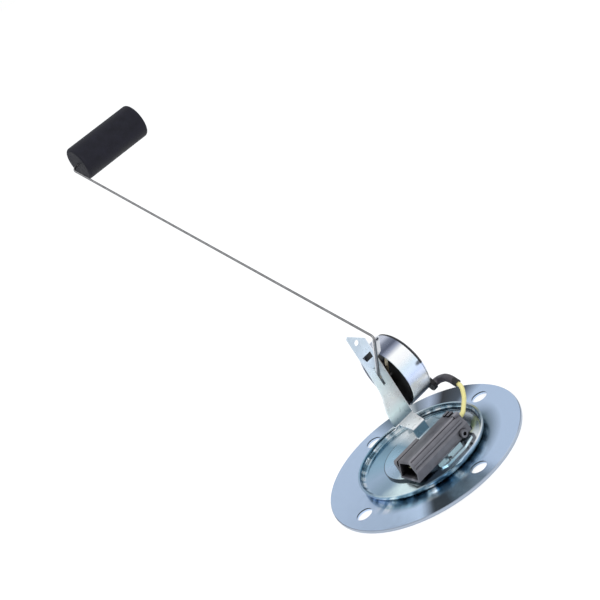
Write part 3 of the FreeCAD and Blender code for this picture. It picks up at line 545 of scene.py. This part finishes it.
FINISHES = {
    "flange_plate": flange_with_painted_light("flange_zinc_plate_painted_light"),
    "dish": dish_with_painted_light("dish_zinc_plate_painted_light"),
    "bracket": bracket_with_painted_light("bracket_zinc_plate_painted_light"),
    "sensor_can": drum_with_painted_light("can_zinc_plate_painted_light"),
    "can_cover": drum_with_painted_light("cover_zinc_plate_painted_light"),
    "can_seal": moulded("can_seal_rubber", (0.03, 0.03, 0.035), (0.015, 0.015, 0.018)),
    "shaft_bush": steel("bush_bronze_turned", (0.3, 0.26, 0.2)),
    "card_former": moulded("former_moulding", (0.008, 0.0075, 0.008), (0.004, 0.004, 0.004),
                           specular=0.2),
    "former_rivets": steel("former_rivet_plate", (0.7, 0.71, 0.73)),
    "resistance_card": moulded("card_laminate", (0.13, 0.09, 0.06), (0.05, 0.035, 0.025)),
    "resistance_winding": winding_finish("winding_wire"),
    "pivot_shaft": steel("shaft_ground", (0.7, 0.71, 0.73), (0.12, 0.24)),
    "arm_hub": steel("hub_dark_steel", (0.3, 0.31, 0.34)),
    "arm_lever": zinc("lever_zinc_plate", (0.96, 0.96, 0.98), (0.9, 0.91, 0.94), metallic=0.2),
    "lever_rivet": steel("lever_rivet_dark", (0.12, 0.125, 0.15)),
    "float_wire": steel("wire_drawn", (0.3, 0.295, 0.3), (0.28, 0.42)),
    "wiper_arm": steel("wiper_bronze", (0.66, 0.56, 0.4)),
    "wiper_contact": steel("contact_metal", (0.8, 0.8, 0.8)),
    "float": foam("float_foam_black"),
    "float_retainer": steel("retainer_spring", (0.55, 0.56, 0.6)),
    "connector_housing": housing_with_painted_light("housing_moulding_painted_light"),
    "connector_terminal": steel("terminal_tinned", (0.7, 0.62, 0.4)),
    "connector_seal": moulded("connector_seal_black", (0.03, 0.03, 0.03), (0.012, 0.012, 0.012)),
    "connector_clip": zinc("clip_zinc_plate", (0.66, 0.76, 0.8), (0.5, 0.62, 0.66)),
    "clip_rivet": steel("clip_rivet_plate", (0.2, 0.22, 0.24)),
    "lead_boot": moulded("boot_black", (0.012, 0.011, 0.013), (0.004, 0.004, 0.005),
                         rough=(0.2, 0.34), specular=0.3),
    "lead_wire": lead_finish("lead_insulation"),
    "lead_sleeve": sleeve_with_painted_shade("sleeve_black"),
}

for name, finish in FINISHES.items():
    node = NODES[name]
    if not node.data.materials:
        node.data.materials.append(finish)
    for slot in node.material_slots:
        slot.material = finish


def floor():
    """A white floor that keeps the shadow and lights nothing by itself."""
    half = FLOOR_SIZE / 2
    corners = [(-half, -half, 0), (half, -half, 0), (half, half, 0), (-half, half, 0)]
    mesh = bpy.data.meshes.new("floor")
    mesh.from_pydata(corners, [], [(0, 1, 2, 3)])
    plane = bpy.data.objects.new("floor", mesh)
    bpy.context.scene.collection.objects.link(plane)
    plane.location.z = CAD_BOX[0][2] - FLOOR_GAP
    g = Finish("floor_white", specular=0.0)
    g.shader.inputs["Base Color"].default_value = FLOOR_COLOUR
    g.shader.inputs["Roughness"].default_value = FLOOR_ROUGHNESS
    # Only camera and mirror rays see its glow
    rays = g.add("ShaderNodeLightPath").outputs
    glow = g.add("ShaderNodeEmission")
    glow.inputs["Color"].default_value = FLOOR_LIFT
    g.link(g.calc("MAXIMUM", rays["Is Camera Ray"], rays["Is Glossy Ray"]), glow.inputs["Strength"])
    lifted = g.add("ShaderNodeAddShader")
    g.link(g.shader.outputs["BSDF"], lifted.inputs[0])
    g.link(glow.outputs["Emission"], lifted.inputs[1])
    g.link(lifted.outputs["Shader"], g.tree.nodes["Material Output"].inputs["Surface"])
    mesh.materials.append(g.material)


def soft_light(name, place, size, power):
    data = bpy.data.lights.new(name, "AREA")
    data.shape = "RECTANGLE"
    data.size, data.size_y = size
    data.energy = power
    lamp = bpy.data.objects.new(name, data)
    bpy.context.scene.collection.objects.link(lamp)
    lamp.location = place
    lamp.rotation_euler = (Vector(LIGHTS_AIM) - Vector(place)).to_track_quat("-Z", "Y").to_euler()


def room():
    """A room that metal mirrors: pale overhead and in front, grey low down behind."""
    world = bpy.data.worlds.new("studio")
    world.use_nodes = True
    bpy.context.scene.world = world
    g = Graph(world.node_tree)
    direction = g.add("ShaderNodeSeparateXYZ")
    g.link(g.add("ShaderNodeTexCoord").outputs["Generated"], direction.inputs["Vector"])
    front = g.calc("MULTIPLY", direction.outputs["Y"], ROOM_FRONT)
    tone = g.ramp(g.calc("MAXIMUM", direction.outputs["Z"], front), ROOM_TONES)
    # The camera itself sees plain white
    backdrop = g.mix(g.add("ShaderNodeLightPath").outputs["Is Camera Ray"], tone, ON)
    background = g.tree.nodes["Background"]
    g.link(backdrop, background.inputs["Color"])
    background.inputs["Strength"].default_value = 1.0


floor()
for name, (place, size, power) in LIGHTS.items():
    soft_light(name, place, size, power)
room()

camera_data = bpy.data.cameras.new("camera")
camera_data.lens = LENS_MM
camera_data.sensor_width = SENSOR_MM
camera_data.clip_start = CAMERA_NEAREST
camera = bpy.data.objects.new("camera", camera_data)
bpy.context.scene.collection.objects.link(camera)
camera.location = CAMERA_PLACE
camera.rotation_euler = [math.radians(angle) for angle in CAMERA_ANGLES]
bpy.context.scene.camera = camera
bpy.context.scene.view_settings.view_transform = "Standard"
